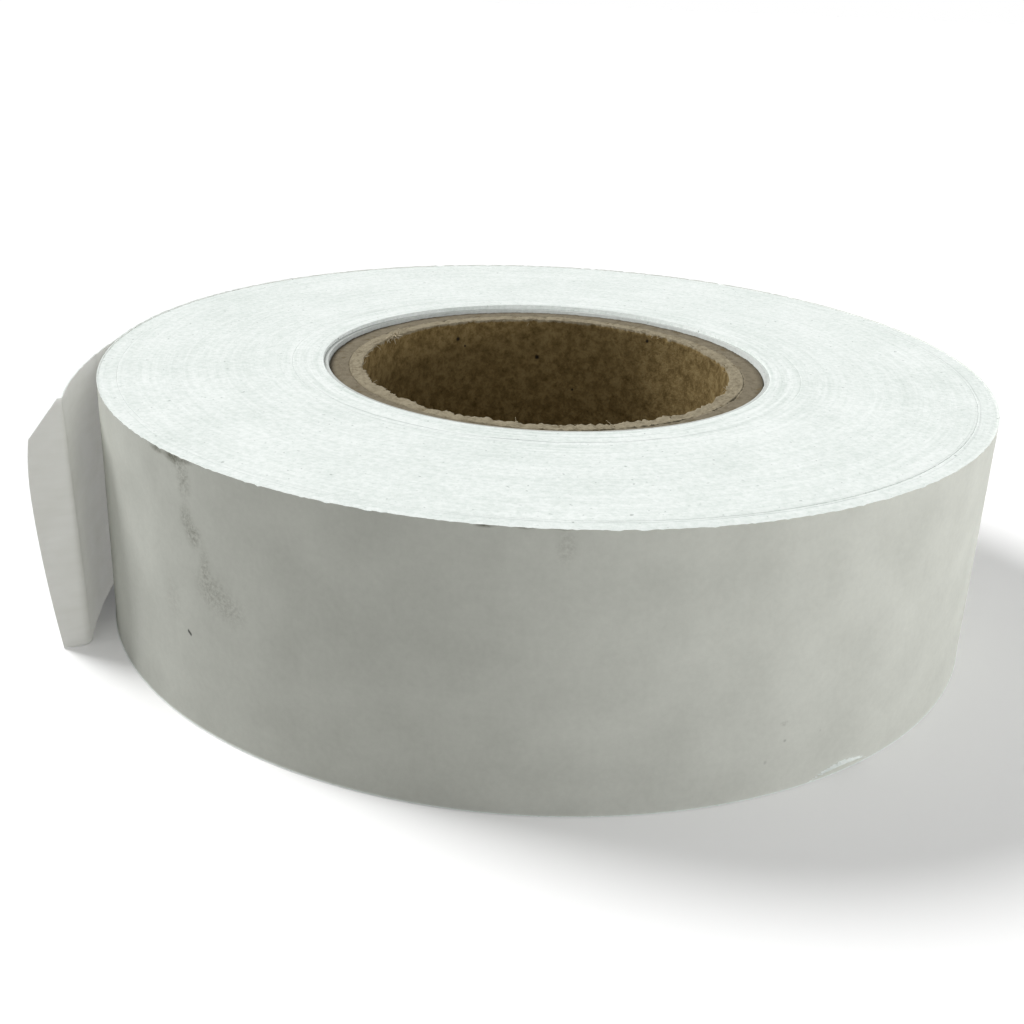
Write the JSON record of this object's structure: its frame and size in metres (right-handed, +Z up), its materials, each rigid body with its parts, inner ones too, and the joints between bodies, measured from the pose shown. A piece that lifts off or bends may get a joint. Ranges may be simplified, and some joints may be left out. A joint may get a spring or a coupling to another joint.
{
  "type": "gummed tape roll",
  "caption": "Roll of white gummed paper tape wound on a spiral board core, lying flat, with the free end lifted off the roll and its tip folded outwards.",
  "frame": {"origin": "on the roll's axis, at the level of the surface that the roll lies on", "axes": "+Z up along the roll's axis, -Y towards the viewer of the picture, -X towards the side where the tape leaves the roll"},
  "size_m": [0.0919, 0.0899, 0.0251],
  "materials": {
    "gummed_paper": "matte",
    "core_board": "matte",
    "core_liner_board": "matte"
  },
  "bodies": {
    "roll": {"core_liner": "core_liner_board", "core_ply_2": "core_board", "core_ply_3": "core_board", "core_ply_4": "core_board", "core_wrap": "core_board", "first_turns": "gummed_paper", "inner_windings": "gummed_paper", "main_windings": "gummed_paper", "outer_windings": "gummed_paper", "outer_turn": "gummed_paper"},
    "peel_1": {"peel_segment_1": "gummed_paper"},
    "peel_2": {"peel_segment_2": "gummed_paper"},
    "peel_3": {"peel_segment_3": "gummed_paper"},
    "peel_4": {"peel_segment_4": "gummed_paper"},
    "peel_5": {"peel_segment_5": "gummed_paper"},
    "peel_6": {"peel_segment_6": "gummed_paper"},
    "tail": {"tail": "gummed_paper"},
    "flap": {"tail_flap": "gummed_paper"}
  },
  "joints": [
    {"name": "peel_joint_1", "type": "hinge", "parent": "roll", "child": "peel_1", "pos_m": [-0.02247, 0.03891, 0.0126], "axis": [0, 0, -1], "range_deg": [0, 10], "stiffness_Nm_per_rad": 0.0002},
    {"name": "peel_joint_2", "type": "hinge", "parent": "peel_1", "child": "peel_2", "pos_m": [-0.02888, 0.03442, 0.0126], "axis": [0, 0, -1], "range_deg": [0, 10], "stiffness_Nm_per_rad": 0.0002},
    {"name": "peel_joint_3", "type": "hinge", "parent": "peel_2", "child": "peel_3", "pos_m": [-0.03442, 0.02889, 0.0126], "axis": [0, 0, -1], "range_deg": [0, 10], "stiffness_Nm_per_rad": 0.0002},
    {"name": "peel_joint_4", "type": "hinge", "parent": "peel_3", "child": "peel_4", "pos_m": [-0.03892, 0.02247, 0.0126], "axis": [0, 0, -1], "range_deg": [0, 10], "stiffness_Nm_per_rad": 0.0002},
    {"name": "peel_joint_5", "type": "hinge", "parent": "peel_4", "child": "peel_5", "pos_m": [-0.04223, 0.01537, 0.0126], "axis": [0, 0, -1], "range_deg": [0, 10], "stiffness_Nm_per_rad": 0.0002},
    {"name": "peel_joint_6", "type": "hinge", "parent": "peel_5", "child": "peel_6", "pos_m": [-0.04426, 0.00781, 0.0126], "axis": [0, 0, -1], "range_deg": [0, 10], "stiffness_Nm_per_rad": 0.0002},
    {"name": "tail_joint", "type": "hinge", "parent": "peel_6", "child": "tail", "pos_m": [-0.04495, 0, 0.0126], "axis": [0, 0, -1], "range_deg": [-3, 45], "stiffness_Nm_per_rad": 0.0002},
    {"name": "flap_crease", "type": "hinge", "parent": "tail", "child": "flap", "pos_m": [-0.04363, -0.02017, 0.0126], "axis": [0, 0, -1], "range_deg": [-76, 95], "stiffness_Nm_per_rad": 0.0001}
  ]
}
